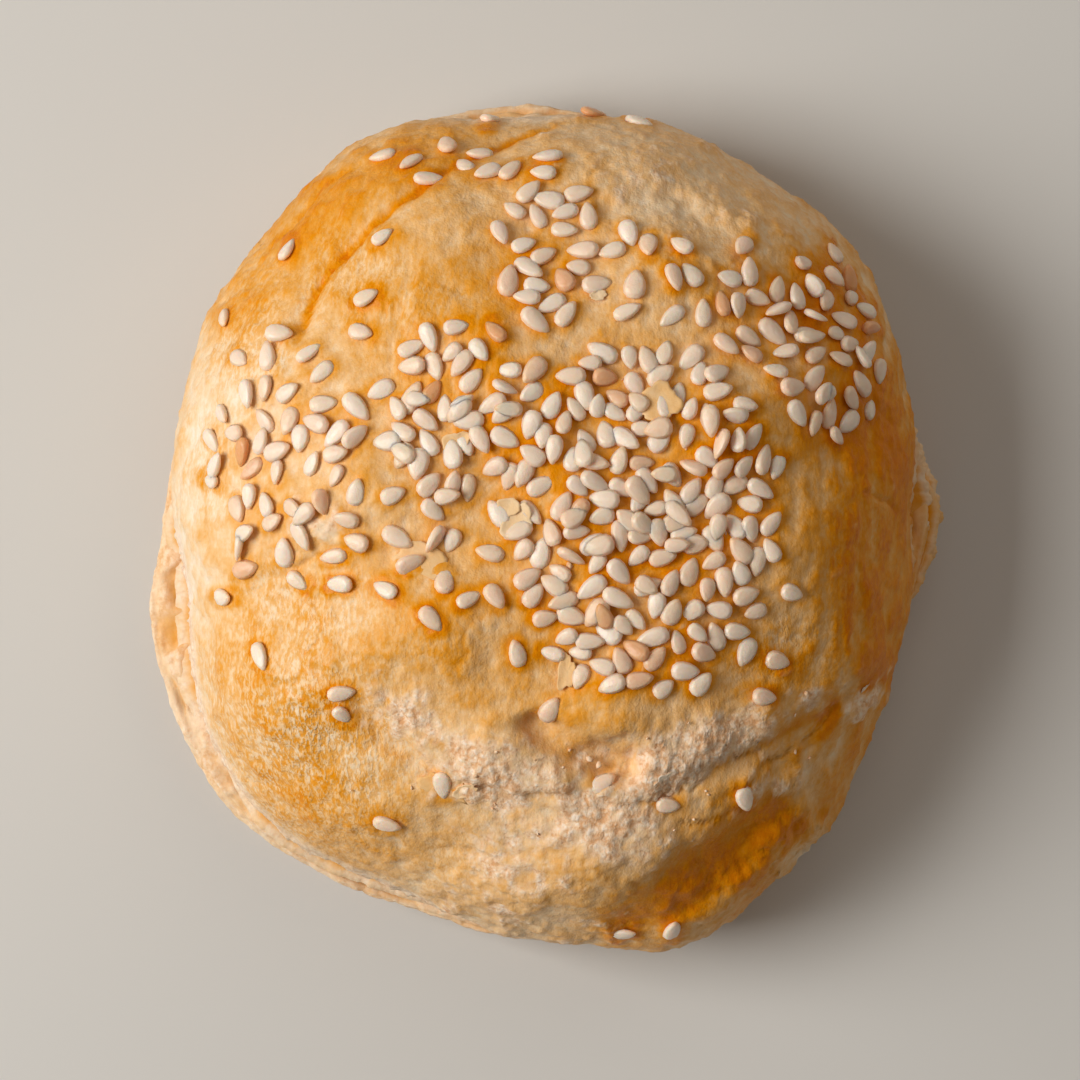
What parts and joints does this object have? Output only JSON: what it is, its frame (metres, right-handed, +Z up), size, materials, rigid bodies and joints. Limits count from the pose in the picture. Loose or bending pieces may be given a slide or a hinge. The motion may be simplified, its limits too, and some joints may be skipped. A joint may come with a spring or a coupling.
{
  "type": "cheese pastry",
  "caption": "Round domed puff pastry with a glazed, sesame-strewn top, opened layers along its side and a flat underside.",
  "frame": {"origin": "middle of the bounding box at the flat underside", "axes": "+Z up through the crown of the dome, +Y along the slightly longer way across, +X to the right as seen from above"},
  "size_m": [0.0802, 0.0864, 0.035],
  "materials": {
    "crust": "egg-washed and baked puff pastry: satin to glossy golden brown glaze, matt cream dough where it has cracked, ivory sesame"
  },
  "bodies": {
    "root": {"pastry": "crust"}
  },
  "joints": []
}
